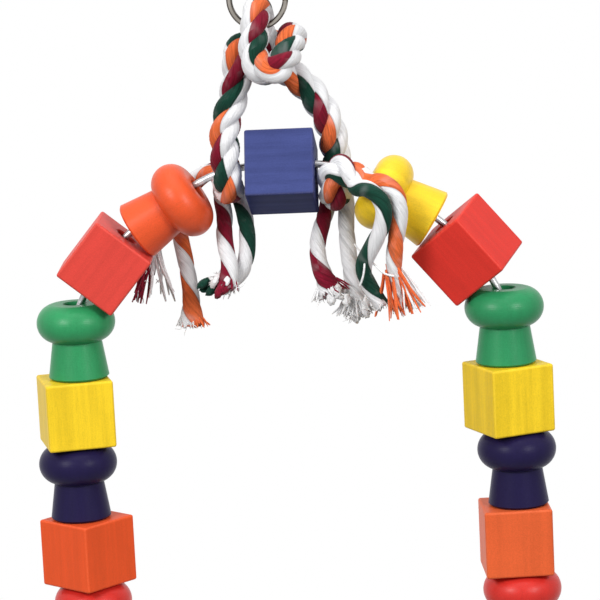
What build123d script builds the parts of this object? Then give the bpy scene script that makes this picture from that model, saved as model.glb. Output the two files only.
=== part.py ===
"""Bird swing: wooden blocks threaded on a bent wire arch that hangs by a knotted cotton rope
from a split ring, with a dowel perch across the feet of the arch.

Origin: inside top of the split ring, where the hook bears. +Z up, +X along the perch.
"""
import os
from math import acos, cos, degrees, pi, radians, sin, sqrt, tan

from build123d import *

os.makedirs("parts", exist_ok=True)

# Driving dimensions, mm and degrees
ring_od = 25.0
ring_band = 2.3
ring_turn = 1.2
ring_gap = 0.45
ring_ramp = 24.0
ring_split = -20.0
rope_d = 11.0
strand_d = 6.6
wire_d = 3.0
arch_x = 6.4
rope_drop = 56.5
cube = 28.0
cube_edge = 1.0
spool_h = 31.0
spool_rim_d = 32.5
spool_neck_d = 20.5
spool_base_d = 25.0
spool_rim_arc = 8.0
spool_edge = 0.8
bore_d = 9.0
bore_edge = 0.6
shoulder_cube_tilt = 50.0
shoulder_spool_tilt = 32.0
column_shift = 1.0
perch_d = 16.0
perch_overhang = 20.5
perch_edge = 1.5
foot_bend = 3.5
foot_length = 10.0

# Bends of the wire from the crown down: radius as a share of a cube and a spool in line,
# and the slope that the bend reaches
crown_share = 0.375
bend_shares = [(0.8475, 27.0), (2.7966, 39.0), (1.4915, 64.0), (0.5932, 90.0)]

# Clearances
rest_gap = 0.3
swing_gap = 0.4
rope_gap = 0.7
knot_gap = 2.0
tail_gap = 1.0
perch_hole_gap = 0.1

# How far each cube is turned on the wire where it rests
blue_spin = -25.0
left_red_spin = 3.0
right_red_spin = -24.0
left_yellow_spin = 17.0
right_yellow_spin = 28.0
left_orange_spin = 51.0
right_orange_spin = 6.0

# How far a block of a column stands outward of the column's line, loose on the wire
left_leans = {"yellow_cube": 2.2, "navy_spool": 2.8, "orange_cube": 0.8}
right_leans = {"yellow_cube": 0.4, "navy_spool": 3.0, "orange_cube": 1.4, "red_spool": 3.2}

# Derived sizes
crown_flat = crown_share * cube
block_pitch = cube + spool_h
bends = [(share * block_pitch, slope_end) for share, slope_end in bend_shares]
rope_r = rope_d / 2
strand_r = strand_d / 2
wire_r = wire_d / 2
bore_r = bore_d / 2
rim_r = spool_rim_d / 2
rim_centre_r = rim_r - spool_rim_arc
neck_rise = sqrt(spool_rim_arc**2 - (spool_neck_d / 2 - rim_centre_r) ** 2)
rim_height = spool_h - spool_rim_arc * 0.98
rim_top_r = rim_centre_r + spool_rim_arc * sin(acos(0.98))
ring_mid_r = (ring_od - ring_band) / 2
ring_centre = Vector(0, 0, -(ring_od / 2 - ring_band))
ring_pitch = ring_turn + ring_gap
ring_seat_z = ring_centre.Z - ring_mid_r
crown_z = ring_seat_z - rope_drop


def at(x, y, z):
    """A point given from the middle of the arch's crown."""
    return Vector(arch_x + x, y, crown_z + z)


def wire_point(angle):
    """The wire's middle, right side, where it slopes down by the angle."""
    x = crown_flat
    z = 0.0
    start = 0.0
    for radius, end in bends:
        stop = min(angle, end)
        x += radius * (sin(radians(stop)) - sin(radians(start)))
        z -= radius * (cos(radians(start)) - cos(radians(stop)))
        start = end
        if angle <= end:
            break
    return Vector(x, 0, z)


def wire_height(x):
    """Height of the wire's middle at a distance from the crown, inside its first bend."""
    reach = max(x - crown_flat, 0.0)
    return sqrt(bends[0][0] ** 2 - reach**2) - bends[0][0]


def slope(tilt):
    """Unit vectors down along the wire and square to it, inward, on the right side."""
    down = Vector(cos(radians(tilt)), 0, -sin(radians(tilt)))
    inward = Vector(-sin(radians(tilt)), 0, -cos(radians(tilt)))
    return down, inward


# Where the blocks rest, given from the crown, right side
leg_x = wire_point(90).X
column_x = leg_x - column_shift
column_top = wire_point(bends[2][1]).Z
hang = bore_r - wire_r - rest_gap

cube_down, cube_in = slope(shoulder_cube_tilt)
rim_centre = Vector(column_x - rim_centre_r, 0, column_top - spool_h + rim_height)
on_wire = wire_point(shoulder_cube_tilt)
slide = (rim_centre - on_wire).dot(cube_down) - cube / 2 - spool_rim_arc - rest_gap
shoulder_cube_at = on_wire + cube_in * (hang * 0.4) + cube_down * slide

spool_down, spool_in = slope(shoulder_spool_tilt)
cube_face = shoulder_cube_at - cube_down * (cube / 2)
line_at = wire_point(shoulder_spool_tilt) + spool_in * (hang * 0.95)
reach = (cube_face - line_at - spool_in * (spool_base_d / 2)).dot(cube_down) - rest_gap
shoulder_spool_at = line_at + spool_down * (reach / spool_down.dot(cube_down))

perch_top = column_top - 3 * spool_h - 2 * cube - 5 * rest_gap
perch_mid = perch_top - perch_d / 2
perch_length = 2 * (leg_x + perch_overhang)

# Split ring: two flat turns of band joined by a short ramp
ramp_start = ring_split - ring_ramp / 2
ramp_end = ring_split + ring_ramp / 2
end_gap = degrees(ring_turn / 2 / ring_mid_r)
turn_sweep = 360 - ring_ramp - end_gap


def ring_section(angle):
    """The plane square to the band at an angle round the ring."""
    out = Vector(cos(radians(angle)), 0, sin(radians(angle)))
    along = Vector(-sin(radians(angle)), 0, cos(radians(angle)))
    return Plane(origin=ring_centre, x_dir=out, z_dir=along)


ring_axis = Axis(ring_centre, (0, -1, 0))
with BuildPart() as split_ring:
    with BuildSketch(ring_section(ramp_end + end_gap)):
        with Locations((ring_mid_r, -ring_pitch / 2)):
            Rectangle(ring_band, ring_turn)
    revolve(axis=ring_axis, revolution_arc=turn_sweep)
    with BuildSketch(ring_section(ramp_end)):
        with Locations((ring_mid_r, ring_pitch / 2)):
            Rectangle(ring_band, ring_turn)
    revolve(axis=ring_axis, revolution_arc=turn_sweep)
    for step in range(5):
        share = step / 4
        with BuildSketch(ring_section(ramp_start + ring_ramp * share)):
            with Locations((ring_mid_r, ring_pitch * (share - 0.5))):
                Rectangle(ring_band, ring_turn)
    loft(ruled=True)

# Wire arch: half of it swept, then mirrored; the feet are bent over under the perch
with BuildPart() as wire_arch:
    with BuildLine(Plane(origin=at(0, 0, 0), x_dir=(1, 0, 0), z_dir=(0, -1, 0))) as half:
        last = Line((0, 0), (crown_flat, 0))
        turned = 0.0
        for bend_radius, bend_end in bends:
            last = JernArc(last @ 1, last % 1, bend_radius, turned - bend_end)
            turned = bend_end
        last = Line(last @ 1, at(leg_x, 0, perch_top - perch_d - perch_hole_gap * 4))
        last = JernArc(last @ 1, last % 1, foot_bend, 90)
        Line(last @ 1, (last @ 1) + Vector(foot_length, 0, 0))
    half_wire = half.wires()[0]
    with BuildSketch(Plane(origin=at(0, 0, 0), z_dir=(1, 0, 0))):
        Circle(wire_r)
    sweep(path=half_wire)
    mirror(about=Plane(origin=at(0, 0, 0), z_dir=(1, 0, 0)))

# Perch: a dowel with cross holes for the legs
with BuildPart() as perch:
    with BuildSketch(Plane(origin=at(0, 0, perch_mid), z_dir=(1, 0, 0))):
        Circle(perch_d / 2)
    extrude(amount=perch_length / 2, both=True)
    chamfer(perch.edges().filter_by(GeomType.CIRCLE), perch_edge)
    with BuildSketch(Plane(origin=at(0, 0, perch_mid))):
        with GridLocations(2 * leg_x, 0, 2, 1):
            Circle(wire_r + perch_hole_gap)
    extrude(amount=perch_d, both=True, mode=Mode.SUBTRACT)

# The two turned and sawn forms that every block repeats, bored along their own Z
with BuildPart() as spool_form:
    with BuildSketch(Plane.XZ):
        with BuildLine():
            Polyline(
                (bore_r + bore_edge, spool_h),
                (bore_r, spool_h - bore_edge),
                (bore_r, bore_edge),
                (bore_r + bore_edge, 0),
                (spool_base_d / 2 - spool_edge, 0),
                (spool_base_d / 2, spool_edge),
                (spool_neck_d / 2, rim_height - neck_rise),
            )
            ThreePointArc(
                (spool_neck_d / 2, rim_height - neck_rise),
                (rim_r, rim_height),
                (rim_top_r, spool_h),
            )
            Line((rim_top_r, spool_h), (bore_r + bore_edge, spool_h))
        make_face()
    revolve(axis=Axis.Z)

with BuildPart() as cube_form:
    Box(cube, cube, cube, align=(Align.CENTER, Align.CENTER, Align.MIN))
    fillet(cube_form.edges(), cube_edge)
    with BuildSketch():
        Circle(bore_r)
    extrude(amount=cube, mode=Mode.SUBTRACT)
    chamfer(cube_form.edges().filter_by(GeomType.CIRCLE).filter_by(
        lambda edge: abs(edge.radius - bore_r) < 0.01), bore_edge)


def seat(foot, up, spin):
    """The place of a block: middle of its lower face, direction of its bore, turn about it."""
    across = Vector(0, 1, 0).cross(up)
    return Plane(origin=foot, x_dir=across, z_dir=up).location * Location((0, 0, 0), (0, 0, spin))


def mirrored(point, side):
    return at(point.X * side, 0, point.Z)


# Name, form, place and turn of every block
blocks = {}
blocks["blue_cube"] = (cube_form, seat(at(-cube / 2, 0, -hang), Vector(1, 0, 0), blue_spin))
for side_name, side in (("left", -1), ("right", 1)):
    spool_up = Vector(-spool_down.X * side, 0, -spool_down.Z)
    cube_up = Vector(-cube_down.X * side, 0, -cube_down.Z)
    cube_foot = mirrored(shoulder_cube_at + cube_down * (cube / 2), side)
    up = Vector(0, 0, 1)
    if side < 0:
        spool_name = "left_orange_spool"
        red_spin = left_red_spin
        yellow_spin = left_yellow_spin
        orange_spin = left_orange_spin
        leans = left_leans
    else:
        spool_name = "right_yellow_spool"
        red_spin = right_red_spin
        yellow_spin = right_yellow_spin
        orange_spin = right_orange_spin
        leans = right_leans
    blocks[spool_name] = (spool_form, seat(mirrored(shoulder_spool_at, side), spool_up, 0))
    blocks[side_name + "_red_cube"] = (cube_form, seat(cube_foot, cube_up, red_spin))
    level = perch_top + rest_gap
    for name, form, height, spin in (
        ("red_spool", spool_form, spool_h, 0),
        ("orange_cube", cube_form, cube, orange_spin),
        ("navy_spool", spool_form, spool_h, 0),
        ("yellow_cube", cube_form, cube, yellow_spin),
        ("green_spool", spool_form, spool_h, 0),
    ):
        foot = at((column_x + leans.get(name, 0.0)) * side, 0, level)
        blocks[side_name + "_" + name] = (form, seat(foot, up, spin))
        level += height + rest_gap

for name, (form, place) in blocks.items():
    with BuildPart() as block:
        with Locations(place):
            add(form.part)
    block.part.label = name
    export_step(block.part, "parts/" + name + ".step")

# Rope: under the wire on the left, up to the ring as the left leg, behind the standing part,
# round its right side, across the front of it, over the ring from the front and down through
# that half hitch as the right leg, then round the wire on the right
knot_x = cube / 2 + rope_r + knot_gap
wrap = wire_r + rope_gap + rope_r
loop = sqrt((ring_band / 2) ** 2 + (ring_turn + ring_gap / 2) ** 2) + swing_gap + rope_r
knot_z = wire_height(knot_x)
sag_z = knot_z - wrap - 0.41 * rope_d
ring_x = -arch_x
top = rope_drop
u = rope_d
rope_route = [
    (-knot_x - 0.32 * u, wrap + 0.53 * u, knot_z - 0.62 * u),
    (-knot_x - 0.05 * u, wrap - 0.15 * u, knot_z - wrap - 0.05 * u),
    (-knot_x, -wrap, knot_z - wrap),
    (-knot_x - 0.07 * u, -wrap + 0.06 * u, 0.15 * top),
    (-knot_x - 0.03 * u, -0.41 * u, 0.32 * top),
    (-knot_x + 0.3 * u, -0.29 * u, 0.49 * top),
    (ring_x - 0.85 * u, -0.24 * u, top - 1.82 * u),
    (ring_x - 1.05 * u, -0.14 * u, top - 0.91 * u),
    (ring_x - 1.02 * u, 1.23 * u, top - 0.59 * u),
    (ring_x + 0.17 * u, 2.13 * u, top - u),
    (ring_x + 1.22 * u, 1.5 * u, top - 0.77 * u),
    (ring_x + 1.63 * u, 0.04 * u, top - 0.5 * u),
    (ring_x + 1.35 * u, -1.14 * u, top - 1.41 * u),
    (ring_x + 0.45 * u, -1.53 * u, top - 1.96 * u),
    (ring_x - 0.24 * u, -1.38 * u, top - 1.45 * u),
    (ring_x - 0.13 * u, -u, top - 0.5 * u),
    (ring_x, -loop, top + loop - swing_gap / 2),
    (ring_x, loop, top + loop - swing_gap / 2),
    (ring_x + 0.04 * u, loop + 0.08 * u, top - 0.43 * u),
    (ring_x + 0.45 * u, 0.47 * u, top - 1.14 * u),
    (ring_x + 0.9 * u, 0.24 * u, top - 1.68 * u),
    (ring_x + 1.52 * u, 0.23 * u, top - 2.12 * u),
    (knot_x - 0.55 * u, 0.18 * u, 0.47 * top),
    (knot_x - 0.15 * u, 0.21 * u, 0.32 * top),
    (knot_x - 0.01 * u, 0.38 * u, 0.18 * top),
    (knot_x + 0.05 * u, wrap, 0.05 * top),
    (knot_x + 0.05 * u, wrap, sag_z),
    (knot_x - 0.05 * u, -wrap, sag_z),
    (knot_x - 0.08 * u, -wrap - 0.06 * u, sag_z + 1.15 * u),
    (knot_x + 0.74 * u, -wrap - 0.46 * u, sag_z + 1.38 * u),
    (knot_x + 1.09 * u, -wrap - 0.98 * u, sag_z + 0.49 * u),
]


def radii(points):
    """Bend radius at each inner point, as large as its two runs allow."""
    found = []
    for one, two, three in zip(points, points[1:], points[2:]):
        before = two - one
        after = three - two
        turn = radians(before.get_angle(after))
        found.append(0.45 * min(before.length, after.length) / tan(turn / 2))
    return found


def tube(points, diameter, name):
    """A round cord along a route of points, with its bends and its length printed."""
    bend_radii = radii(points)
    with BuildPart() as cord:
        with BuildLine() as path:
            FilletPolyline(*points, radius=bend_radii)
        route = path.wires()[0]
        with BuildSketch(Plane(origin=route @ 0, z_dir=route % 0)):
            Circle(diameter / 2)
        sweep(path=route)
    length = route.length
    share = cord.part.volume / (pi * diameter**2 / 4 * length)
    print([round(value, 1) for value in bend_radii])
    print(name, "length", round(length, 1), "least radius", round(min(bend_radii), 1),
          "volume over section x length", round(share, 4))
    cord.part.label = name
    export_step(cord.part, "parts/" + name + ".step")
    return route


def least_gap(line, diameter):
    """Least space between two stretches of one cord that lie more than two turns apart."""
    count = int(line.length / 1.5)
    spots = [line @ (index / count) for index in range(count + 1)]
    apart = int(2.2 * diameter / 1.5)
    least = 1000.0
    for index, spot in enumerate(spots):
        for other in spots[index + apart:]:
            least = min(least, (spot - other).length)
    return least - diameter


rope_line = tube([at(*point) for point in rope_route], rope_d, "rope")
print("rope least gap to itself", round(least_gap(rope_line, rope_d), 2))

# Tail strands: they leave the rope's ends and hang in front of the shoulder spools or behind them
clear_y = rim_r + strand_r + tail_gap
left_end = Vector(*rope_route[0])
right_end = Vector(*rope_route[-1])
behind_y = wrap + rope_r + strand_r + rest_gap
s = strand_d
tails = {}
tails["left_orange_tail"] = [
    (left_end.X - 0.48 * s, left_end.Y - 0.2 * s, left_end.Z + 0.53 * s),
    (left_end.X - 0.91 * s, clear_y - 0.46 * s, left_end.Z + 0.68 * s),
    (left_end.X - 1.74 * s, clear_y + 0.11 * s, left_end.Z + 0.15 * s),
    (left_end.X - 2.65 * s, clear_y + 0.31 * s, left_end.Z - 0.83 * s),
    (left_end.X - 3.3 * s, clear_y + 0.28 * s, left_end.Z - 2.2 * s),
    (left_end.X - 3.06 * s, clear_y, left_end.Z - 3.7 * s),
    (left_end.X - 2.77 * s, clear_y - 0.45 * s, left_end.Z - 5.05 * s),
    (left_end.X - 2.56 * s, left_end.Y + 0.29 * s, left_end.Z - 6.47 * s),
    (left_end.X - 2.5 * s, left_end.Y + 0.14 * s, left_end.Z - 7.8 * s),
    (left_end.X - 2.56 * s, left_end.Y + 0.11 * s, left_end.Z - 9.02 * s),
]
tails["left_white_tail"] = [
    (left_end.X + 0.48 * s, left_end.Y + 0.18 * s, left_end.Z + 0.53 * s),
    (left_end.X + 0.21 * s, clear_y - 0.14 * s, left_end.Z + 0.79 * s),
    (left_end.X - 0.76 * s, clear_y + 0.75 * s, left_end.Z + 0.68 * s),
    (left_end.X - 2.12 * s, clear_y + 1.28 * s, left_end.Z),
    (left_end.X - 3.56 * s, clear_y + 1.28 * s, left_end.Z - 1.06 * s),
    (left_end.X - 4.47 * s, clear_y + 0.98 * s, left_end.Z - 2.58 * s),
    (left_end.X - 4.92 * s, clear_y + 0.52 * s, left_end.Z - 4.24 * s),
    (left_end.X - 5.15 * s, clear_y + 0.14 * s, left_end.Z - 5.8 * s),
]
tails["left_red_tail"] = [
    (left_end.X - 0.36 * s, left_end.Y + 0.59 * s, left_end.Z - 0.38 * s),
    (left_end.X - 0.27 * s, left_end.Y + 0.53 * s, left_end.Z - 1.29 * s),
    (left_end.X - 0.05 * s, left_end.Y - 0.26 * s, left_end.Z - 2.12 * s),
    (left_end.X - 0.09 * s, left_end.Y - 1.06 * s, left_end.Z - 2.91 * s),
    (left_end.X + 0.05 * s, left_end.Y - 1.74 * s, left_end.Z - 4.02 * s),
    (left_end.X + 0.36 * s, left_end.Y - 2.27 * s, left_end.Z - 5.2 * s),
    (left_end.X, left_end.Y - 2.58 * s, left_end.Z - 6.21 * s),
]
tails["left_green_tail"] = [
    (left_end.X + 0.64 * s, left_end.Y + 0.92 * s, left_end.Z - 0.38 * s),
    (left_end.X + 0.91 * s, left_end.Y + 0.71 * s, left_end.Z - 1.29 * s),
    (left_end.X + 1.23 * s, left_end.Y - 0.23 * s, left_end.Z - 2.2 * s),
    (left_end.X + 1.38 * s, left_end.Y - 0.98 * s, left_end.Z - 3.42 * s),
    (left_end.X + 1.29 * s, left_end.Y - 1.35 * s, left_end.Z - 4.64 * s),
    (left_end.X + 0.73 * s, left_end.Y - 1.32 * s, left_end.Z - 5.82 * s),
    (left_end.X - 0.38 * s, left_end.Y - 1.26 * s, left_end.Z - 6.29 * s),
]
tails["right_green_tail"] = [
    (right_end.X - 0.5 * s, right_end.Y - 0.09 * s, right_end.Z - 0.44 * s),
    (right_end.X + 0.03 * s, -clear_y - 0.29 * s, right_end.Z - 1.08 * s),
    (right_end.X + 1.02 * s, -clear_y - 0.57 * s, right_end.Z - 1.97 * s),
    (right_end.X + 1.03 * s, -clear_y - 0.43 * s, right_end.Z - 2.98 * s),
    (right_end.X + 0.53 * s, -clear_y - 0.14 * s, right_end.Z - 3.86 * s),
    (right_end.X + 0.09 * s, -clear_y + 0.19 * s, right_end.Z - 5.02 * s),
    (right_end.X + 0.36 * s, -clear_y + 0.45 * s, right_end.Z - 6.26 * s),
    (right_end.X + 0.86 * s, -clear_y + 0.57 * s, right_end.Z - 7.35 * s),
]
tails["right_orange_tail"] = [
    (right_end.X + 0.73 * s, right_end.Y - 0.23 * s, right_end.Z - 0.08 * s),
    (right_end.X + 1.38 * s, -clear_y - 0.45 * s, right_end.Z - 0.18 * s),
    (right_end.X + 2.03 * s, -clear_y - 0.73 * s, right_end.Z - 0.67 * s),
    (right_end.X + 2.35 * s, -clear_y - 0.75 * s, right_end.Z - 1.7 * s),
    (right_end.X + 2.15 * s, -clear_y - 0.52 * s, right_end.Z - 3.14 * s),
    (right_end.X + 1.92 * s, -clear_y - 0.17 * s, right_end.Z - 4.65 * s),
    (right_end.X + 2.09 * s, -clear_y + 0.13 * s, right_end.Z - 6.2 * s),
    (right_end.X + 2.41 * s, -clear_y + 0.31 * s, right_end.Z - 7.42 * s),
]
tails["right_red_tail"] = [
    (knot_x - 0.55 * s, behind_y - 0.14 * s, sag_z + 0.76 * s),
    (knot_x - 0.56 * s, behind_y - 0.32 * s, sag_z - 0.74 * s),
    (knot_x - 0.98 * s, behind_y - 1.24 * s, sag_z - 1.89 * s),
    (knot_x - 1.32 * s, behind_y - 2.09 * s, sag_z - 3.02 * s),
    (knot_x - 1.24 * s, behind_y - 2.7 * s, sag_z - 4.1 * s),
    (knot_x - 0.86 * s, behind_y - 3.08 * s, sag_z - 5.12 * s),
    (knot_x - 0.46 * s, behind_y - 3.3 * s, sag_z - 5.96 * s),
]
tails["right_white_tail"] = [
    (knot_x + 0.48 * s, behind_y - 0.03 * s, sag_z + 0.76 * s),
    (knot_x + 0.55 * s, behind_y - 0.12 * s, sag_z - 0.84 * s),
    (knot_x + 0.47 * s, behind_y - 0.94 * s, sag_z - 2.04 * s),
    (knot_x + 0.58 * s, behind_y - 1.71 * s, sag_z - 3.31 * s),
    (knot_x + 0.7 * s, behind_y - 2.32 * s, sag_z - 4.62 * s),
    (knot_x + 0.88 * s, behind_y - 2.62 * s, sag_z - 5.89 * s),
    (knot_x + 1.08 * s, behind_y - 2.77 * s, sag_z - 7.25 * s),
]
for name, points in tails.items():
    tube([at(*point) for point in points], strand_d, name)

split_ring.part.label = "split_ring"
wire_arch.part.label = "wire_arch"
perch.part.label = "perch"
export_step(split_ring.part, "parts/split_ring.step")
export_step(wire_arch.part, "parts/wire_arch.step")
export_step(perch.part, "parts/perch.step")
print("overall height", round(ring_band - crown_z - perch_top + perch_d, 1))
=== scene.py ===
"""Looks of the bird swing: stained wooden blocks on a wire arch, a knotted cotton rope with
frayed strand ends, and a split ring to hang it from."""
import random
from math import cos, exp, pi, radians, sin, sqrt

import bmesh
import bpy
from mathutils import Euler, Matrix, Quaternion, Vector
from mathutils.noise import noise as lump_noise


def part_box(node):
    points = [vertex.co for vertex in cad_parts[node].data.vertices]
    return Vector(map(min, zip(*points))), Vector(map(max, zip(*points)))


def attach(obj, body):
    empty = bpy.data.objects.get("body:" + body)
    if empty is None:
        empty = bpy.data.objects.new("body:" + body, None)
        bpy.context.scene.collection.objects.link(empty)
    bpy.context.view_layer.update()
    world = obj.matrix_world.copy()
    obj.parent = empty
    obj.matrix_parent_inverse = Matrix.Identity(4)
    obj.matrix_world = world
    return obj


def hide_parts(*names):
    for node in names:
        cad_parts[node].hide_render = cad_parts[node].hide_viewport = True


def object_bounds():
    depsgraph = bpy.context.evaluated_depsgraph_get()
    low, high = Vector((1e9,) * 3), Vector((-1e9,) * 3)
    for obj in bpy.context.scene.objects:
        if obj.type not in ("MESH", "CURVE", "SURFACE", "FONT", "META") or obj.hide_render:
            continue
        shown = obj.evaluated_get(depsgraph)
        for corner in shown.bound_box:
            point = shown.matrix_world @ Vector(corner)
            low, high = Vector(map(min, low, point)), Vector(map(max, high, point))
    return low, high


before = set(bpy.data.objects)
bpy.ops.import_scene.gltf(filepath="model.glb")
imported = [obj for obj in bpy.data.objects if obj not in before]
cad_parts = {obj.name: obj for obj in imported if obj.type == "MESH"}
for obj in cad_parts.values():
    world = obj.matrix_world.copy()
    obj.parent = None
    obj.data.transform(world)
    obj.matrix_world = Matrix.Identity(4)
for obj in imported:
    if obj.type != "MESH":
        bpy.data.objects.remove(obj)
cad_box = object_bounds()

mm = 0.001
arch_crown = Vector((6.4, 0.0, -78.05)) * mm

# The split ring: its centre, the radius of its band's middle, half the band's width and thickness,
# and how far apart its two turns lie
ring_centre = Vector((0, 0, -10.2)) * mm
ring_middle_r = 11.35 * mm
band_half_width = 1.15 * mm
band_half_thick = 0.6 * mm
band_pitch = 1.65 * mm

# Half a cube's side, in millimetres
cube_half = 14.0


def from_crown(x, y, z):
    """A point given in millimetres from the middle of the arch's crown."""
    return arch_crown + Vector((x, y, z)) * mm


# Camera, light and stage


def place_camera():
    """A long lens a little above the swing and to its right, tipped a few degrees."""
    side, rise, distance = radians(4.5), radians(10.5), 1.2
    back = Vector((sin(side) * cos(rise), -cos(side) * cos(rise), sin(rise)))
    camera = bpy.data.objects.new("view", bpy.data.cameras.new("view"))
    camera.data.lens = 174.8
    camera.data.sensor_width = 36
    camera.rotation_mode = "QUATERNION"
    tip = Quaternion((0, 0, 1), radians(-2.89))
    aim = Euler((radians(0.66), radians(-0.2), 0)).to_quaternion()
    camera.rotation_quaternion = (-back).to_track_quat("-Z", "Y") @ tip @ aim
    camera.location = from_crown(0, 0, -70) + back * distance
    bpy.context.scene.collection.objects.link(camera)
    bpy.context.scene.camera = camera
    bpy.context.scene.view_settings.view_transform = "Standard"


def soft_box(name, place, size, watts):
    """A square studio lamp turned to the middle of the swing."""
    lamp = bpy.data.lights.new(name, "AREA")
    lamp.size = size
    lamp.energy = watts
    box = bpy.data.objects.new(name, lamp)
    box.location = place
    box.rotation_euler = (from_crown(0, 0, -80) - box.location).to_track_quat("-Z", "Y").to_euler()
    bpy.context.scene.collection.objects.link(box)


def add_node(tree, kind, **settings):
    """A shader node with its properties and its unlinked inputs set."""
    node = tree.nodes.new(kind)
    for key, value in settings.items():
        socket = node.inputs.get(key.replace("_", " "))
        if socket is None:
            setattr(node, key, value)
        else:
            socket.default_value = value
    return node


def mix_to_output(tree, factor, first, second, output):
    """Sends a mix of two shaders to a new output of the tree."""
    mix = add_node(tree, "ShaderNodeMixShader")
    out = add_node(tree, output)
    tree.links.new(factor, mix.inputs[0])
    tree.links.new(first.outputs[0], mix.inputs[1])
    tree.links.new(second.outputs[0], mix.inputs[2])
    tree.links.new(mix.outputs[0], out.inputs["Surface"])


def light_the_studio():
    """White all round for what is seen or mirrored, a dimmer sky for the light, and three lamps."""
    world = bpy.data.worlds.new("studio")
    bpy.context.scene.world = world
    world.use_nodes = True
    tree = world.node_tree
    tree.nodes.clear()
    path = add_node(tree, "ShaderNodeLightPath").outputs
    seen = calculate(tree, "ADD", path["Is Camera Ray"], path["Is Glossy Ray"])
    seen = calculate(tree, "ADD", seen, path["Is Transmission Ray"], clamp=True)
    sky = add_node(tree, "ShaderNodeTexCoord")
    height = add_node(tree, "ShaderNodeSeparateXYZ")
    tree.links.new(sky.outputs["Generated"], height.inputs[0])
    low_sky, high_sky = 0.1, 0.62
    strength = spread(tree, height.outputs[2], -0.5, 0.55, low_sky, high_sky)
    ambient = add_node(tree, "ShaderNodeBackground", Color=(1, 1, 1, 1))
    tree.links.new(strength, ambient.inputs["Strength"])
    white = add_node(tree, "ShaderNodeBackground", Color=(1, 1, 1, 1), Strength=1.0)
    mix_to_output(tree, seen, ambient, white, "ShaderNodeOutputWorld")
    soft_box("left_softbox", (-0.7, -1.0, 0.5), 0.4, 10.6)
    soft_box("right_softbox", (0.85, -0.95, 0.45), 0.4, 8.5)
    soft_box("top_softbox", (0.0, -0.2, 0.95), 0.9, 3.5)


def lay_floor():
    """A pale round floor under the perch that fades out into the white of the studio."""
    drop = 0.05
    fade_start, fade_end, radius = 0.14, 0.3, 0.6
    low = cad_box[0].z - drop
    shape = bmesh.new()
    bmesh.ops.create_circle(shape, cap_ends=True, segments=64, radius=radius,
                            matrix=Matrix.Translation((arch_crown.x, 0, low)))
    mesh = bpy.data.meshes.new("floor")
    shape.to_mesh(mesh)
    shape.free()
    floor = bpy.data.objects.new("floor", mesh)
    bpy.context.scene.collection.objects.link(floor)
    material = bpy.data.materials.new("pale_floor")
    material.use_nodes = True
    tree = material.node_tree
    tree.nodes.clear()
    coords = add_node(tree, "ShaderNodeTexCoord")
    centre = add_node(tree, "ShaderNodeMapping", Location=(-arch_crown.x, 0, -low))
    reach = add_node(tree, "ShaderNodeVectorMath", operation="LENGTH")
    tree.links.new(coords.outputs["Object"], centre.inputs["Vector"])
    tree.links.new(centre.outputs[0], reach.inputs[0])
    fade = spread(tree, reach.outputs["Value"], fade_start, fade_end)
    path = add_node(tree, "ShaderNodeLightPath")
    shown_grey, lighting_grey = (0.86, 0.86, 0.86, 1), (0.25, 0.25, 0.25, 1)
    tone = mix_colours(tree, path.outputs["Is Diffuse Ray"], shown_grey, lighting_grey)
    paint = add_node(tree, "ShaderNodeBsdfDiffuse")
    tree.links.new(tone, paint.inputs["Color"])
    clear = add_node(tree, "ShaderNodeBsdfTransparent")
    mix_to_output(tree, fade, paint, clear, "ShaderNodeOutputMaterial")
    mesh.materials.append(material)


# Finishes


def rgb(red, green, blue):
    """A colour as it is seen on a screen, made linear."""
    linear = []
    for value in (red, green, blue):
        share = value / 255
        linear.append(share / 12.92 if share < 0.04045 else ((share + 0.055) / 1.055) ** 2.4)
    return (*linear, 1.0)


def shaded(colour, share):
    """A colour at a share of its brightness."""
    return tuple(min(1.0, value * share) for value in colour[:3]) + (1.0,)


def start_finish(name, **settings):
    """A new material with one principled shader, its constants set on the shader's own sockets."""
    material = bpy.data.materials.new(name)
    material.use_nodes = True
    tree = material.node_tree
    shader = tree.nodes["Principled BSDF"]
    for key, value in settings.items():
        shader.inputs[key.replace("_", " ")].default_value = value
    return material, tree, shader


def feed(tree, socket, value):
    """Links a socket to another one, or sets it where the value is a constant."""
    if isinstance(value, bpy.types.NodeSocket):
        tree.links.new(value, socket)
    else:
        socket.default_value = value


def mix_colours(tree, factor, first, second, blend="MIX"):
    """The output of a colour mix; each of the three may be a socket or a constant."""
    node = add_node(tree, "ShaderNodeMix", data_type="RGBA", blend_type=blend)
    feed(tree, node.inputs[0], factor)
    feed(tree, node.inputs[6], first)
    feed(tree, node.inputs[7], second)
    return node.outputs[2]


def calculate(tree, operation, first, second=0.0, clamp=False):
    """The output of a sum, product or other plain calculation on sockets or constants."""
    node = add_node(tree, "ShaderNodeMath", operation=operation, use_clamp=clamp)
    feed(tree, node.inputs[0], first)
    feed(tree, node.inputs[1], second)
    return node.outputs[0]


def weighted_sum(tree, *terms):
    """The sum of sockets, each taken with its weight."""
    total = calculate(tree, "MULTIPLY", *terms[0])
    for value, weight in terms[1:]:
        total = calculate(tree, "ADD", total, calculate(tree, "MULTIPLY", value, weight))
    return total


def spread(tree, value, low, high, to_low=0.0, to_high=1.0):
    """A value taken from one range to another, with a smooth start and end."""
    node = add_node(tree, "ShaderNodeMapRange", interpolation_type="SMOOTHSTEP")
    node.inputs["From Min"].default_value = low
    node.inputs["From Max"].default_value = high
    node.inputs["To Min"].default_value = to_low
    node.inputs["To Max"].default_value = to_high
    tree.links.new(value, node.inputs["Value"])
    return node.outputs[0]


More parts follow.
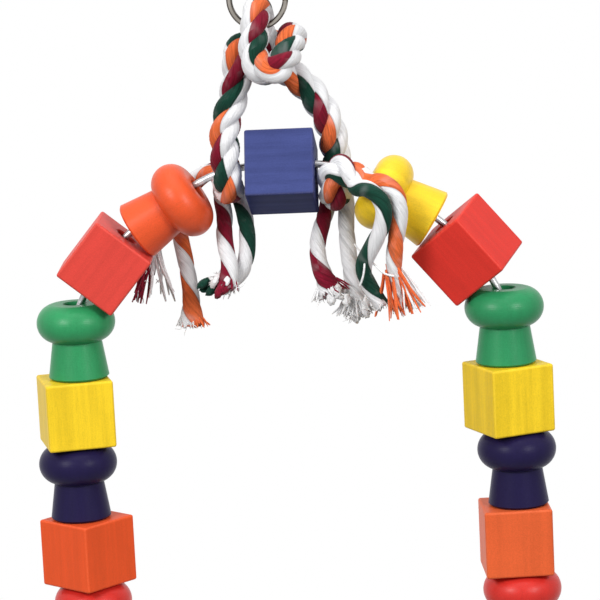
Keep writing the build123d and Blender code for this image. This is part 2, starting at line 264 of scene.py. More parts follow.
def noise(tree, vector, scale, detail=3.0, roughness=0.55, stretch=None):
    """Noise on a vector, drawn out along an axis where stretch is given."""
    if stretch is not None:
        pull = add_node(tree, "ShaderNodeVectorMath", operation="MULTIPLY")
        pull.inputs[1].default_value = stretch
        tree.links.new(vector, pull.inputs[0])
        vector = pull.outputs[0]
    node = add_node(tree, "ShaderNodeTexNoise", Scale=scale, Detail=detail, Roughness=roughness)
    tree.links.new(vector, node.inputs["Vector"])
    return node.outputs["Fac"]


def add_bump(tree, shader, height, strength, distance):
    """Raises a shader's surface by a height."""
    bump = add_node(tree, "ShaderNodeBump", Strength=strength, Distance=distance)
    tree.links.new(height, bump.inputs["Height"])
    tree.links.new(bump.outputs[0], shader.inputs["Normal"])


def own_millimetres(tree, centre, turn=(0, 0, 0)):
    """Millimetres from a piece's centre, along axes that are turned with it."""
    coords = add_node(tree, "ShaderNodeTexCoord")
    own = add_node(tree, "ShaderNodeMapping", vector_type="TEXTURE", Location=centre, Rotation=turn,
                   Scale=(mm, mm, mm))
    tree.links.new(coords.outputs["Object"], own.inputs["Vector"])
    return own.outputs[0]


def stained_wood(name, stain, centre, turn, seed, grain, gloss, sawn):
    """Stained wood under a thin varnish. The grain runs along the block's bore, in the block's own
    frame; sawn blocks have rubbed edges and turned ones fine tool marks."""
    material, tree, shader = start_finish(name, IOR=1.45, Specular_IOR_Level=gloss)
    block = own_millimetres(tree, centre, turn)
    # The seed is the place in the wood that the block is cut from
    moved = add_node(tree, "ShaderNodeVectorMath", operation="ADD")
    moved.inputs[1].default_value = (24 + 7.3 * seed, 31 - 5.1 * seed, 40 * seed)
    tree.links.new(block, moved.inputs[0])
    wood = moved.outputs[0]

    year = noise(tree, wood, 1.0, detail=1.0, roughness=0.4, stretch=(0.24, 0.24, 0.012))
    streak = noise(tree, wood, 1.0, stretch=(0.9, 0.9, 0.045))
    holes = noise(tree, wood, 1.0, detail=2.0, roughness=0.5, stretch=(3.4, 3.4, 0.2))
    pore = spread(tree, holes, 0.30, 0.40, 1.0, 0.0)
    cloud = noise(tree, wood, 0.07, detail=2.0)
    speck = noise(tree, wood, 2.4, detail=2.0, roughness=0.6)

    deep = shaded(stain, 1 - 0.34 * grain)
    bright = shaded(stain, 1 + 0.10 * grain)
    tone = weighted_sum(tree, (year, 0.8), (streak, 0.45), (cloud, 0.35))
    colour = mix_colours(tree, spread(tree, tone, 0.5, 1.1), deep, bright)
    pore_share = calculate(tree, "MULTIPLY", pore, 0.32 * grain)
    colour = mix_colours(tree, pore_share, colour, shaded(stain, 0.4))
    mottle = spread(tree, speck, 0.25, 0.75, 0.9, 1.06)
    colour = mix_colours(tree, 1.0, colour, mottle, "MULTIPLY")
    if sawn:
        smooth, rough = 0.34, 0.5
        size = add_node(tree, "ShaderNodeVectorMath", operation="ABSOLUTE")
        parts = add_node(tree, "ShaderNodeSeparateXYZ")
        tree.links.new(block, size.inputs[0])
        tree.links.new(size.outputs[0], parts.inputs[0])
        x, y, z = parts.outputs
        pairs = [calculate(tree, "MINIMUM", one, two) for one, two in ((x, y), (y, z), (x, z))]
        edge = calculate(tree, "MAXIMUM", calculate(tree, "MAXIMUM", pairs[0], pairs[1]), pairs[2])
        near_edge = spread(tree, edge, cube_half - 0.9, cube_half - 0.2)
        rubbed = calculate(tree, "MULTIPLY", near_edge, spread(tree, speck, 0.35, 0.7))
        bare = (0.9, 0.65, 0.45)
        pale = tuple(value * 0.8 + 0.15 * warm for value, warm in zip(stain, bare)) + (1.0,)
        colour = mix_colours(tree, calculate(tree, "MULTIPLY", rubbed, 0.45), colour, pale)
        height = weighted_sum(tree, (streak, 0.5), (speck, 0.25))
    else:
        smooth, rough = 0.28, 0.4
        marks = add_node(tree, "ShaderNodeTexWave", wave_type="BANDS", bands_direction="Z",
                         Scale=0.5, Distortion=1.2, Detail=1.0)
        tree.links.new(wood, marks.inputs["Vector"])
        height = weighted_sum(tree, (marks.outputs["Fac"], 0.25), (speck, 0.35))
    height = calculate(tree, "SUBTRACT", height, calculate(tree, "MULTIPLY", pore, 0.4))
    tree.links.new(colour, shader.inputs["Base Color"])
    tree.links.new(spread(tree, speck, 0.2, 0.8, smooth, rough), shader.inputs["Roughness"])
    add_bump(tree, shader, height, 0.2, 0.0003)
    return material


def bare_wood():
    """The perch: planed light wood, grain along its length."""
    material, tree, shader = start_finish("bare_wood")
    heart = (0.0, 0.03, -0.27)
    wood = own_millimetres(tree, heart)
    rings = add_node(tree, "ShaderNodeTexWave", wave_type="RINGS", rings_direction="X",
                     Scale=0.09, Distortion=3.0, Detail=2.0)
    slow = add_node(tree, "ShaderNodeVectorMath", operation="MULTIPLY")
    slow.inputs[1].default_value = (0.06, 1.0, 1.0)
    tree.links.new(wood, slow.inputs[0])
    tree.links.new(slow.outputs[0], rings.inputs["Vector"])
    streak = noise(tree, wood, 1.0, detail=4.0, roughness=0.6, stretch=(0.05, 1.3, 1.3))
    holes = noise(tree, wood, 1.0, detail=2.0, roughness=0.5, stretch=(0.16, 3.0, 3.0))
    pore = spread(tree, holes, 0.28, 0.4, 1.0, 0.0)
    tone = weighted_sum(tree, (rings.outputs["Fac"], 0.45), (streak, 0.6))
    colour = mix_colours(tree, spread(tree, tone, 0.15, 0.9), rgb(196, 150, 98), rgb(231, 198, 150))
    colour = mix_colours(tree, calculate(tree, "MULTIPLY", pore, 0.35), colour, rgb(150, 106, 66))
    tree.links.new(colour, shader.inputs["Base Color"])
    tree.links.new(spread(tree, streak, 0.2, 0.8, 0.5, 0.68), shader.inputs["Roughness"])
    add_bump(tree, shader, calculate(tree, "SUBTRACT", streak, pore), 0.2, 0.0004)
    return material


def plated_steel(name, tint, low_rough, high_rough, drawn):
    """Bright plated steel with fine marks; where it isn't drawn wire it is the ring's band, left at
    the plate's own colour along its middle and painted dark towards its rims as a painted reflection."""
    material, tree, shader = start_finish(name, Metallic=1.0)
    coords = add_node(tree, "ShaderNodeTexCoord")
    cloud = noise(tree, coords.outputs["Object"], 260.0)
    fine = noise(tree, coords.outputs["Object"], 2400.0 if drawn else 1500.0, detail=2.0)
    dull = shaded(tint, 0.5 if drawn else 0.8)
    colour = mix_colours(tree, spread(tree, cloud, 0.3, 0.75), dull, tint)
    if not drawn:
        flat = add_node(tree, "ShaderNodeVectorMath", operation="MULTIPLY")
        flat.inputs[1].default_value = (1.0, 0.0, 1.0)
        reach = add_node(tree, "ShaderNodeVectorMath", operation="LENGTH")
        tree.links.new(own_millimetres(tree, ring_centre), flat.inputs[0])
        tree.links.new(flat.outputs[0], reach.inputs[0])
        offset = calculate(tree, "SUBTRACT", reach.outputs["Value"], ring_middle_r / mm)
        from_middle = calculate(tree, "ABSOLUTE", offset)
        # Painted reflection: the band's colour darkens towards its rims to stand for dark reflections
        painted_rim_reflection = spread(tree, from_middle, 0.3, 0.85, 0.0, 0.92)
        colour = mix_colours(tree, painted_rim_reflection, colour, rgb(58, 52, 46))
    tree.links.new(colour, shader.inputs["Base Color"])
    tree.links.new(spread(tree, cloud, 0.25, 0.75, low_rough, high_rough), shader.inputs["Roughness"])
    add_bump(tree, shader, fine, 0.08, 0.0002)
    return material


white_cotton = rgb(246, 246, 248)
cotton_colours = {
    "red": rgb(138, 22, 48),
    "green": rgb(22, 68, 54),
    "orange": rgb(250, 120, 66),
    "white": rgb(252, 252, 253),
}


def two_ply_cotton(name, dye):
    """Soft cotton strand: one ply dyed and one white, drawn from the strand's own lay map,
    where u goes once round the two plies and v is centimetres along the strand."""
    material, tree, shader = start_finish(name, Roughness=0.9, Specular_IOR_Level=0.12,
                                         Sheen_Weight=0.08, Sheen_Roughness=0.5)
    lay = add_node(tree, "ShaderNodeUVMap", uv_map="lay").outputs[0]
    fibre = noise(tree, lay, 1.0, detail=4.0, roughness=0.65, stretch=(46.0, 1.1, 1.0))
    thread = noise(tree, lay, 1.0, detail=2.0, roughness=0.5, stretch=(15.0, 0.9, 1.0))
    cloud = noise(tree, lay, 1.0, detail=2.0, roughness=0.5, stretch=(2.0, 1.2, 1.0))
    parts = add_node(tree, "ShaderNodeSeparateXYZ")
    tree.links.new(lay, parts.inputs[0])
    around = calculate(tree, "COSINE", calculate(tree, "MULTIPLY", parts.outputs[0], 2 * pi))
    ragged = calculate(tree, "MULTIPLY", calculate(tree, "SUBTRACT", thread, 0.5), 0.35)
    dyed = spread(tree, calculate(tree, "ADD", around, ragged), -0.05, 0.05)
    # Painted shade: the colour is darkened in the groove between the two plies
    groove = spread(tree, calculate(tree, "ABSOLUTE", around), 0.0, 0.3, 0.78, 1.0)
    shade = spread(tree, weighted_sum(tree, (fibre, 1.0), (thread, 0.6)), 0.5, 1.1)
    dye_tone = mix_colours(tree, shade, shaded(dye, 0.5), dye)
    white_tone = mix_colours(tree, shade, shaded(white_cotton, 0.74), white_cotton)
    colour = mix_colours(tree, dyed, white_tone, dye_tone)
    faded = calculate(tree, "MULTIPLY", spread(tree, cloud, 0.5, 0.8), 0.16)
    colour = mix_colours(tree, faded, colour, white_cotton)
    # The painted groove shade darkens the colour here
    colour = mix_colours(tree, 1.0, colour, groove, "MULTIPLY")
    tree.links.new(colour, shader.inputs["Base Color"])
    height = weighted_sum(tree, (fibre, 0.6), (thread, 1.0))
    add_bump(tree, shader, height, 0.8, 0.0008)
    return material


def loose_fibre(name, dye, sheen):
    """Single cotton threads of a frayed end, with the bright edges of soft fibre."""
    material, tree, shader = start_finish(name, Roughness=0.95, Specular_IOR_Level=0.05,
                                         Sheen_Weight=sheen, Sheen_Roughness=0.6,
                                         Subsurface_Weight=0.3, Subsurface_Radius=(1.0, 1.0, 1.0),
                                         Subsurface_Scale=0.5 * mm)
    coords = add_node(tree, "ShaderNodeTexCoord")
    cloud = noise(tree, coords.outputs["Object"], 700.0, detail=2.0)
    colour = mix_colours(tree, spread(tree, cloud, 0.3, 0.7), shaded(dye, 0.86), dye)
    tree.links.new(colour, shader.inputs["Base Color"])
    fuzz = noise(tree, coords.outputs["Object"], 2600.0, roughness=0.6)
    add_bump(tree, shader, fuzz, 0.5, 0.0006)
    return material


# Rope and tails

rope_lay = 29.0 * mm
rope_strand_r = 3.3 * mm
rope_helix_r = 3.0 * mm
rope_facets = 20
tail_r = 3.4 * mm
tail_facets = 36

# The groove between two plies: its depths as shares of the strand's radius, and its width
rope_groove = 0.07
tail_groove = 0.12
ply_groove_width = 0.32

rope_route = [
    (-25.0, 13.5, -8.0), (-22.0, 6.0, -9.5), (-21.5, -7.7, -8.9), (-22.3, -7.0, 8.5),
    (-21.8, -4.5, 18.1), (-18.2, -3.2, 27.5), (-15.8, -2.6, 36.5), (-15.6, -1.8, 45.0),
    (-15.2, 13.2, 48.4), (-3.6, 21.0, 46.5), (5.4, 15.2, 49.0), (7.2, 0.6, 53.0),
    (4.6, -12.4, 43.6), (-1.8, -16.0, 38.4), (-8.2, -14.4, 43.4), (-7.6, -11.0, 52.5),
    (-6.4, -7.7, 64.0), (-6.4, 7.7, 64.0), (-6.0, 8.6, 51.8), (-1.5, 5.2, 44.0),
    (3.5, 2.6, 38.0), (10.3, 2.5, 33.2), (15.5, 2.0, 26.5), (19.8, 2.3, 18.0),
    (21.4, 4.2, 10.0), (22.0, 7.7, 2.8), (22.0, 7.7, -13.4), (21.0, -7.7, -13.4),
    (20.8, -9.2, -1.5), (28.6, -14.0, -1.0), (33.5, -18.5, -8.0),
]
tail_routes = {
    "left_orange_tail": [
        (-28.2, 12.2, -4.5), (-31.0, 17.5, -3.5), (-36.5, 21.3, -7.0), (-42.5, 22.6, -13.5),
        (-46.8, 22.4, -22.5), (-45.2, 20.6, -32.4), (-43.3, 17.6, -41.3), (-41.9, 15.4, -50.7),
        (-41.5, 14.4, -59.5), (-41.9, 14.2, -67.5)],
    "left_white_tail": [
        (-21.8, 14.7, -4.5), (-23.6, 19.6, -2.8), (-30.0, 25.5, -3.5), (-39.0, 29.0, -8.0),
        (-48.5, 29.0, -15.0), (-54.5, 27.0, -25.0), (-57.5, 24.0, -36.0), (-59.0, 21.5, -46.3)],
    "left_red_tail": [
        (-27.4, 17.4, -10.5), (-26.8, 17.0, -16.5), (-25.3, 11.8, -22.0), (-25.6, 6.5, -27.2),
        (-24.7, 2.0, -34.5), (-22.6, -1.5, -42.3), (-25.0, -3.5, -49.0)],
    "left_green_tail": [
        (-20.8, 19.6, -10.5), (-19.0, 18.2, -16.5), (-16.9, 12.0, -22.5), (-15.9, 7.0, -30.6),
        (-16.5, 4.6, -38.6), (-20.2, 4.8, -46.4), (-27.5, 5.2, -49.5)],
    "right_green_tail": [
        (30.0, -20.0, -8.5), (36.0, -25.5, -7.0), (42.6, -27.5, -13.5), (41.5, -26.5, -23.0),
        (36.6, -23.5, -31.5), (31.8, -20.5, -40.0), (34.6, -18.0, -49.0), (39.2, -16.8, -56.5)],
    "right_orange_tail": [
        (36.5, -18.0, -6.5), (41.5, -20.5, -5.2), (47.6, -22.5, -10.2), (48.6, -22.5, -18.5),
        (46.2, -21.5, -29.0), (44.8, -20.5, -39.0), (45.6, -19.5, -48.5), (47.5, -18.5, -57.0)],
    "right_red_tail": [
        (17.9, 15.9, -8.4), (17.8, 14.7, -18.3), (15.0, 8.6, -25.9), (12.8, 3.0, -33.4),
        (13.3, -1.0, -40.5), (15.8, -3.5, -47.2), (18.5, -5.0, -52.8)],
    "right_white_tail": [
        (24.7, 16.6, -8.4), (25.1, 16.0, -19.0), (24.6, 10.6, -26.9), (25.3, 5.5, -35.3),
        (26.1, 1.5, -43.9), (27.3, -0.5, -52.3), (28.6, -1.5, -61.3)],
}

# Where each tail leaves the rope, inside the rope's own surface
tail_roots = {
    "left_orange_tail": (-25.4, 8.4, -7.6), "left_white_tail": (-22.0, 9.6, -7.4),
    "left_red_tail": (-25.4, 12.0, -9.4), "left_green_tail": (-21.6, 13.0, -9.4),
    "right_green_tail": (30.0, -15.2, -4.2), "right_orange_tail": (33.4, -15.4, -2.6),
    "right_red_tail": (20.4, 9.4, -4.4), "right_white_tail": (23.4, 9.6, -4.4),
}

# Two yarns pulled loose from the right green tail, and their radius in millimetres
loose_yarn_r = 0.42
loose_yarns = (
    ((29.0, -12, -32), (33.0, -22, -35), (33.5, -25, -38), (32.5, -25, -44), (31.0, -24, -47)),
    ((36.0, -20, -38), (39.0, -23, -41), (42.0, -25, -43), (45.0, -25, -43.5)),
)

# How each tail's plies lie and how its end is cut, in millimetres, radians and shares: flare and thin
# widen or narrow the strand's end, part and reach are the lengths of its yarns behind and past the
# end, splay spreads them, and dyed adds to those of the dyed ply; tufts are a count, a drift and a
# finish each, where 0 is white and 1 is dyed
tail_cuts = {
    "left_orange_tail": dict(dye="orange", lay=31, start_ply=1.4, flare=0.6,
                             yarns=50, yarn_r=0.28, part=4, reach=1.5, splay=0.5, fuzz=4),
    "left_white_tail": dict(dye="red", lay=31, start_ply=2.6, flare=0.2, thin=0.5,
                            yarns=22, yarn_r=0.6, part=12, reach=13, splay=0.55, fuzz=6),
    "left_red_tail": dict(dye="red", lay=29, start_ply=3.9, flare=0.2,
                          yarns=30, yarn_r=0.4, part=4, reach=1, splay=0.5, fuzz=20,
                          tufts=((5, (-2.5, -1, 2), 0), (2, (0, -1, -1), 1))),
    "left_green_tail": dict(dye="green", lay=31, start_ply=-1.3, flare=0.2,
                            yarns=30, yarn_r=0.4, part=4, reach=2, splay=0.5, fuzz=20,
                            tufts=((3, (-3, -4, 1), 0), (4, (-6, -4, 0), 1))),
    "right_green_tail": dict(dye="green", lay=36, start_ply=-2.4, flare=-0.1,
                             yarns=40, yarn_r=0.3, part=4, reach=0.5, splay=0.2, fuzz=6,
                             loose=loose_yarns),
    "right_orange_tail": dict(dye="orange", lay=31, start_ply=1.6, flare=0.2, thin=0.6,
                              yarns=44, yarn_r=0.5, part=17, reach=4, splay=0.3, fuzz=12, dyed=0.2),
    "right_red_tail": dict(dye="red", lay=27, start_ply=-0.9, flare=0.5,
                           yarns=40, yarn_r=0.42, part=5, reach=2.5, splay=0.6, fuzz=24,
                           tufts=((8, (2, 0, -1), 0), (1, (-2, 0, 0), 1))),
    "right_white_tail": dict(dye="white", lay=31, start_ply=0.0, flare=0.5,
                             yarns=50, yarn_r=0.5, part=6, reach=3, splay=0.7, fuzz=36,
                             tufts=((14, (0, 0, 0), 0), (5, (3, 0, 2), 0))),
}


def start_curve(name, resolution):
    """An empty curve in space."""
    curve = bpy.data.curves.new(name, "CURVE")
    curve.dimensions = "3D"
    curve.resolution_u = resolution
    return curve


def add_spline(curve, places, radius=1.0):
    """A smooth spline of a curve that the places steer."""
    spline = curve.splines.new("NURBS")
    spline.points.add(len(places) - 1)
    for point, place in zip(spline.points, places):
        point.co = (*place, 1.0)
        point.radius = radius
    spline.order_u = 3
    spline.use_endpoint_u = True
    return spline


def mesh_from(curve):
    """The mesh of a curve; the curve itself is removed."""
    carrier = bpy.data.objects.new(curve.name, curve)
    mesh = bpy.data.meshes.new_from_object(carrier)
    bpy.data.objects.remove(carrier)
    bpy.data.curves.remove(curve)
    return mesh


def smooth_line(route):
    """Points along the smooth spline that a route's points steer, in metres."""
    curve = start_curve("route", 12)
    add_spline(curve, [from_crown(*place) for place in route])
    mesh = mesh_from(curve)
    points = [vertex.co.copy() for vertex in mesh.vertices]
    bpy.data.meshes.remove(mesh)
    return points


def directions(points):
    """The unit direction of a line of points at each of them."""
    last = len(points) - 1
    return [(points[min(i + 1, last)] - points[max(i - 1, 0)]).normalized() for i in range(last + 1)]


def untwisted(points):
    """Distance along the line, direction, and a side vector that never spins round it."""
    along = directions(points)
    side = Vector((0, -1, 0)) - along[0] * along[0].dot(Vector((0, -1, 0)))
    if side.length < 0.2:
        side = Vector((1, 0, 0)) - along[0] * along[0].x
    stations = []
    distance = 0.0
    for index, point in enumerate(points):
        if index:
            distance += (point - points[index - 1]).length
        side = (side - along[index] * along[index].dot(side)).normalized()
        stations.append((point, distance, along[index], side.copy()))
    return stations


def sweep_strand(shape, lay_map, spine, swell, groove, facets, material_index, torn=None):
    """Sweeps a two-ply section along a spine of (centre, distance, outward, across, ply angle).
    Where torn lengths are given, the last ring is cut unevenly by them along the strand."""
    rings = []
    for centre, distance, outward, across, ply in spine:
        ring = []
        for facet in range(facets):
            angle = 2 * pi * facet / facets
            dent = exp(-((cos(angle - ply) / ply_groove_width) ** 2))
            radius = swell(distance) * (1 - groove * dent)
            ring.append(shape.verts.new(centre + (outward * cos(angle) + across * sin(angle)) * radius))
        rings.append(ring)
    if torn:
        heading = (spine[-1][0] - spine[-2][0]).normalized()
        for corner, cut in zip(rings[-1], torn):
            corner.co += heading * cut
    for index in range(len(rings) - 1):
        for facet in range(facets):
            after = (facet + 1) % facets
            face = shape.faces.new((rings[index][facet], rings[index][after],
                                    rings[index + 1][after], rings[index + 1][facet]))
            face.smooth = True
            face.material_index = material_index
            for loop, (row, column) in zip(face.loops, ((0, 0), (0, 1), (1, 1), (1, 0))):
                _, distance, _, _, ply = spine[index + row]
                loop[lay_map].uv = ((facet + column) / facets - ply / (2 * pi), distance * 100)
    for ring, back in ((rings[0], True), (rings[-1], False)):
        cap = shape.faces.new(reversed(ring) if back else ring)
        cap.material_index = material_index
        for loop in cap.loops:
            loop[lay_map].uv = (0.25, 0.0)


def finish_piece(name, shape, materials, body):
    """Turns a bmesh into a named piece that rides on a body."""
    mesh = bpy.data.meshes.new(name)
    shape.to_mesh(mesh)
    shape.free()
    for material in materials:
        mesh.materials.append(material)
    piece = bpy.data.objects.new(name, mesh)
    bpy.context.scene.collection.objects.link(piece)
    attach(piece, body)
    return piece


def line_length(points):
    """The length of a line of points."""
    return sum((two - one).length for one, two in zip(points, points[1:]))


# The shares of the rope's length between which the hitch draws it tight, and the turns its lay gains
hitch_start, hitch_end = 0.25, 0.58
hitch_turns = 0.46

# The plies' own turn in a strand at shares of the rope's length, in radians
ply_turns = ((0.0, 4.2), (0.06, 4.2), (0.1, 2.0), (0.15, 2.0), (0.21, 4.1), (0.3, 3.1), (0.38, 4.6),
             (0.46, 3.0), (0.51, 3.1), (0.56, 3.0), (0.62, 3.1), (0.8, 3.1), (0.85, 3.5), (0.9, 3.6),
             (0.93, 3.05), (1.0, 4.0))


def lay_gain(share):
    """The turns that the hitch has added to the lay up to a share of the rope's length."""
    return hitch_turns * min(1.0, max(0.0, (share - hitch_start) / (hitch_end - hitch_start)))


def ply_turn(share):
    """The plies' own turn, straight from one station to the next."""
    for (start, first), (end, second) in zip(ply_turns, ply_turns[1:]):
        if share <= end:
            return first + (second - first) * (share - start) / (end - start)
    return ply_turns[-1][1]


def twist_rope(materials):
    """Three strands laid right-handed round the rope's line, each of a white and a dyed ply.
    The lay is tighter where the rope is drawn up in its hitch."""
    points = smooth_line(rope_route)
    stations = untwisted(points)
    length = line_length(points)
    on_ring = max(stations, key=lambda station: station[0].z)[1]
    taper_length, end_taper = 7 * mm, 0.35
    squeeze_length, ring_squeeze = 12 * mm, 0.11

    def taper(distance):
        near_end = max(0.0, 1.0 - min(distance, length - distance) / taper_length)
        squeeze = exp(-(((distance - on_ring) / squeeze_length) ** 2))
        return rope_strand_r * (1.0 - end_taper * near_end - ring_squeeze * squeeze)

    shape = bmesh.new()
    lay_map = shape.loops.layers.uv.new("lay")
    for strand in range(3):
        centres = []
        radials = []
        plies = []
        for point, distance, along, side in stations:
            share = distance / length
            lay_turn = 2 * pi * (distance / rope_lay + lay_gain(share) + strand / 3)
            radial = side * cos(lay_turn) + along.cross(side) * sin(lay_turn)
            centres.append(point + radial * rope_helix_r * taper(distance) / rope_strand_r)
            radials.append(radial)
            plies.append(ply_turn(share) - 2 * lay_turn)
        spine = []
        for index, along in enumerate(directions(centres)):
            outward = (radials[index] - along * along.dot(radials[index])).normalized()
            across = along.cross(outward)
            spine.append((centres[index], stations[index][1], outward, across, plies[index]))
        sweep_strand(shape, lay_map, spine, taper, rope_groove, rope_facets, strand)
    rope = finish_piece("cotton_rope", shape, materials, "swing")
    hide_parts("rope")
    print("rope", round(length * 1000, 1), "mm")


def add_tufts(shape, chance, tip, heading, count, drift, material_index):
    """Lumps of loose cotton round a strand's end, longer along the strand than across it."""
    for _ in range(count):
        aside = Vector((chance.uniform(-1, 1), chance.uniform(-0.6, 0.6), chance.uniform(-0.4, 0.4)))
        place = tip + aside * tail_r * 1.15 + heading * chance.uniform(-2.5, 2.5) * mm + drift
        size = chance.uniform(1.1, 2.2) * mm
        lean = heading + Vector([chance.uniform(-0.6, 0.6) for _ in range(3)])
        pose = Matrix.Translation(place) @ lean.to_track_quat("Z", "Y").to_matrix().to_4x4()
        made = bmesh.ops.create_icosphere(shape, subdivisions=3, radius=size,
                                          matrix=pose @ Matrix.Diagonal((1.0, 0.8, 1.5, 1.0)))
        for vert in made["verts"]:
            out = vert.co - place
            rough = 0.34 * lump_noise(vert.co / (1.3 * mm)) + 0.2 * lump_noise(vert.co / (0.5 * mm))
            vert.co = place + out * (1 + rough)
        for face in {face for vert in made["verts"] for face in vert.link_faces}:
            face.smooth = True
            face.material_index = material_index


def fray(name, spine, heading, cut, materials):
    """The brush at a strand's cut end: yarns of both plies that part, tufts and short white fuzz."""
    chance = random.Random(name)
    curve = start_curve(name, 3)
    curve.bevel_depth = 1.0 * mm
    curve.bevel_resolution = 1
    curve.use_fill_caps = True
    for material in materials:
        curve.materials.append(material)
    tip, _, outward, across, ply = spine[-1]
    yarn_steps = 5
    sag = Vector((0, 0, -0.03))
    for index in range(cut["yarns"] + cut["fuzz"]):
        is_yarn = index < cut["yarns"]
        angle = chance.uniform(0, 2 * pi)
        share = sqrt(chance.random())
        sideways = outward * cos(angle) + across * sin(angle)
        if is_yarn:
            start = cut["part"] * chance.uniform(0.7, 1.1)
            place = tip - heading * start * mm + sideways * share * tail_r * 0.9
            fan = Vector((sideways.x, sideways.y * 0.5, sideways.z * 0.3))
            course = (heading + fan * share * cut["splay"]).normalized()
            stride = (cut["reach"] * chance.uniform(0.5, 1.1) + start) * mm / yarn_steps
            stray = 0.15
            width = cut["yarn_r"] * chance.uniform(0.7, 1.2)
        else:
            place = tip + heading * chance.uniform(-3.0, 0.6 * cut["reach"]) * mm
            place += sideways * (0.3 + 0.8 * share) * tail_r
            course = (sideways + heading * 0.5).normalized()
            stride = chance.uniform(0.6, 1.2) * mm
            stray = 0.8
            width = chance.uniform(0.13, 0.22)
        places = []
        for _ in range(yarn_steps + 1):
            places.append(place)
            course += Vector([chance.uniform(-stray, stray) for _ in range(3)]) + sag
            course.normalize()
            place = place + course * stride
        spline = add_spline(curve, places, width)
        spline.points[-1].radius = width * 0.5
        dyed = is_yarn and cos(angle - ply) > -cut.get("dyed", 0.0)
        spline.material_index = 1 if dyed else 0
    for route in cut.get("loose", ()):
        add_spline(curve, [from_crown(*place) for place in route], loose_yarn_r)
    mesh = mesh_from(curve)
    shape = bmesh.new()
    shape.from_mesh(mesh)
    bpy.data.meshes.remove(mesh)
    for face in shape.faces:
        face.smooth = True
    for count, drift, finish in cut.get("tufts", ()):
        add_tufts(shape, chance, tip, heading, count, Vector(drift) * mm, finish)
    return finish_piece(name, shape, materials, "swing")


def opened(vector, wide, flare):
    """A section's side vector drawn out along a fan's wide direction and flattened across it."""
    flatten = 0.35
    part = wide * vector.dot(wide)
    return part * (1 + flare) + (vector - part) * (1 - flatten * flare)


def hang_tail(name, cut, strand_finish, fibre_finish):
    """One strand let out of the rope's end: it hangs from its knot and fans out at its cut end."""
    points = smooth_line([tail_roots[name]] + tail_routes[name])
    stations = untwisted(points)
    length = stations[-1][1]
    chance = random.Random(name)
    thin_length, fan_length = 20 * mm, 15 * mm

    def swell(distance):
        near_end = max(0.0, 1.0 - (length - distance) / thin_length)
        return tail_r * (1 - cut.get("thin", 0.0) * near_end)

    spine = []
    for point, distance, along, side in stations:
        near_end = max(0.0, 1.0 - (length - distance) / fan_length)
        wide = (Vector((1, 0, 0)) - along * along.x).normalized()
        fan = cut["flare"] * near_end ** 1.4
        ply = cut["start_ply"] - 2 * pi * distance / (cut["lay"] * mm)
        outward = opened(side, wide, fan)
        across = opened(along.cross(side), wide, fan)
        spine.append((point, distance, outward, across, ply))
    torn = [chance.uniform(-1.6, 1.4) * mm for _ in range(tail_facets)]
    shape = bmesh.new()
    lay_map = shape.loops.layers.uv.new("lay")
    sweep_strand(shape, lay_map, spine, swell, tail_groove, tail_facets, 0, torn)
    dye = cut["dye"]
    tail = finish_piece(name.replace("tail", "strand"), shape, [strand_finish[dye]], "swing")
    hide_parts(name)
    ends = fray(name.replace("tail", "fray"), spine, stations[-1][2], cut,
                [fibre_finish["white"], fibre_finish[dye]])
    print(name, round(length * 1000, 1), "mm")


# Split ring


def coil_split_ring(material):
    """Two turns of flat band joined by a short ramp, its edges rounded."""
    end_gap = 0.6 * mm / ring_middle_r
    start = radians(-8) + end_gap
    ramp = radians(24)
    rim_round = 0.38 * mm
    sweep = 2 * pi - ramp - end_gap
    turn_steps, ramp_steps = 90, 8
    out = Vector((cos(start), 0, sin(start)))
    front = Vector((0, -band_pitch / 2, 0))
    shape = bmesh.new()
    corners = []
    for x, y in ((-1, -1), (1, -1), (1, 1), (-1, 1)):
        across = out * (ring_middle_r + x * band_half_width)
        deep = front + Vector((0, y * band_half_thick, 0))
        corners.append(shape.verts.new(ring_centre + across + deep))
    edges = [shape.edges.new((corners[i], corners[(i + 1) % 4])) for i in range(4)]
    running = corners + edges
    flat_turn = (sweep, turn_steps, 0.0)
    climb = (ramp, ramp_steps, band_pitch / ramp_steps)
    for turn, steps, drift in (flat_turn, climb, flat_turn):
        spun = bmesh.ops.spin(shape, geom=running, cent=ring_centre, axis=(0, -1, 0), angle=turn,
                              steps=steps, dvec=(0, drift, 0), use_duplicate=False)
        running = spun["geom_last"]
    bmesh.ops.holes_fill(shape, edges=[edge for edge in shape.edges if edge.is_boundary], sides=4)
    bmesh.ops.recalc_face_normals(shape, faces=shape.faces)
    rims = [edge for edge in shape.edges if edge.is_manifold and edge.calc_face_angle() > radians(60)]
    bmesh.ops.bevel(shape, geom=rims, offset=rim_round, offset_type="OFFSET", segments=4, profile=0.5,
                    affect="EDGES", material=-1)
    for face in shape.faces:
        face.smooth = True
    ring = finish_piece("plated_split_ring", shape, [material], "ring")
    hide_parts("split_ring")


# The scene

white_sheen, dyed_sheen = 0.8, 0.1
place_camera()
strand_finish = {dye: two_ply_cotton(dye + "_strand", colour) for dye, colour in cotton_colours.items()}
fibre_finish = {}
for dye, colour in cotton_colours.items():
    sheen = white_sheen if dye == "white" else dyed_sheen
    fibre_finish[dye] = loose_fibre(dye + "_fibre", colour, sheen)
twist_rope([strand_finish["red"], strand_finish["green"], strand_finish["orange"]])
for name, cut in tail_cuts.items():
    hang_tail(name, cut, strand_finish, fibre_finish)
light_the_studio()
lay_floor()
coil_split_ring(plated_steel("ring_plate", rgb(172, 166, 158), 0.1, 0.2, False))

# Blocks: the CAD solids keep their shape and take their finish

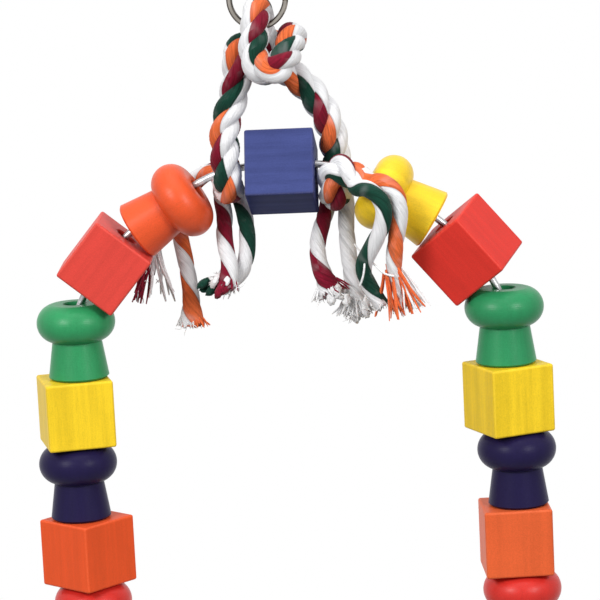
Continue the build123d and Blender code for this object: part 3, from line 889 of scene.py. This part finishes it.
stains = {
    "blue": rgb(69, 78, 131),
    "orange": rgb(238, 90, 44),
    "red": rgb(226, 54, 44),
    "yellow": rgb(250, 211, 44),
    "green": rgb(52, 148, 96),
    "navy": rgb(34, 28, 66),
}
# Blocks whose colour differs from the others of that colour: the red cubes and the right orange cube
# are paler, a painted highlight of the lamps' sheen, and the spools took their stain duller
own_stains_and_painted_highlights = {
    "left_orange_spool": rgb(230, 88, 45),
    "left_red_cube": rgb(222, 74, 64),
    "right_red_cube": rgb(222, 58, 48),
    "right_orange_cube": rgb(228, 100, 54),
    "left_red_spool": rgb(210, 48, 40),
    "right_red_spool": rgb(210, 48, 40),
    "left_green_spool": rgb(46, 146, 90),
    "right_green_spool": rgb(42, 140, 88),
}
# How strongly the grain shows and how much the varnish shines, by colour, where it isn't the usual
usual_grain = 0.3
grains = {"yellow": 0.5, "blue": 0.6}
sawn_gloss, turned_gloss = 0.15, 0.28
glosses = {"blue": 0.01, "navy": 0.1}
# How far each block leans with the wire and is turned on it, in degrees
block_turns = {
    "blue_cube": (90, -25), "left_orange_spool": (58, 0), "right_yellow_spool": (-58, 0),
    "left_red_cube": (40, 3), "right_red_cube": (-40, -24),
    "left_yellow_cube": (0, 17), "right_yellow_cube": (0, 28),
    "left_orange_cube": (0, 51), "right_orange_cube": (0, 6),
}


def dress(node, material):
    """Gives a CAD node its finish."""
    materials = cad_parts[node].data.materials
    materials.clear()
    materials.append(material)


for seed, node in enumerate(sorted(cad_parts)):
    if not node.endswith(("cube", "spool")):
        continue
    tilt, spin = block_turns.get(node, (0, 0))
    lean = Matrix.Rotation(radians(tilt), 3, "Y")
    turn = (lean @ Matrix.Rotation(radians(spin), 3, "Z")).to_euler("XYZ")
    low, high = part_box(node)
    tint = [word for word in node.split("_") if word in stains][0]
    sawn = node.endswith("cube")
    gloss = glosses.get(tint, sawn_gloss if sawn else turned_gloss)
    grain = grains.get(tint, usual_grain)
    # The paler red and orange cubes' colours carry a painted highlight
    stain = own_stains_and_painted_highlights.get(node, stains[tint])
    dress(node, stained_wood(node + "_wood", stain, (low + high) / 2, turn, seed % 7, grain, gloss, sawn))
dress("wire_arch", plated_steel("galvanised_wire", rgb(214, 214, 216), 0.24, 0.38, True))
dress("perch", bare_wood())
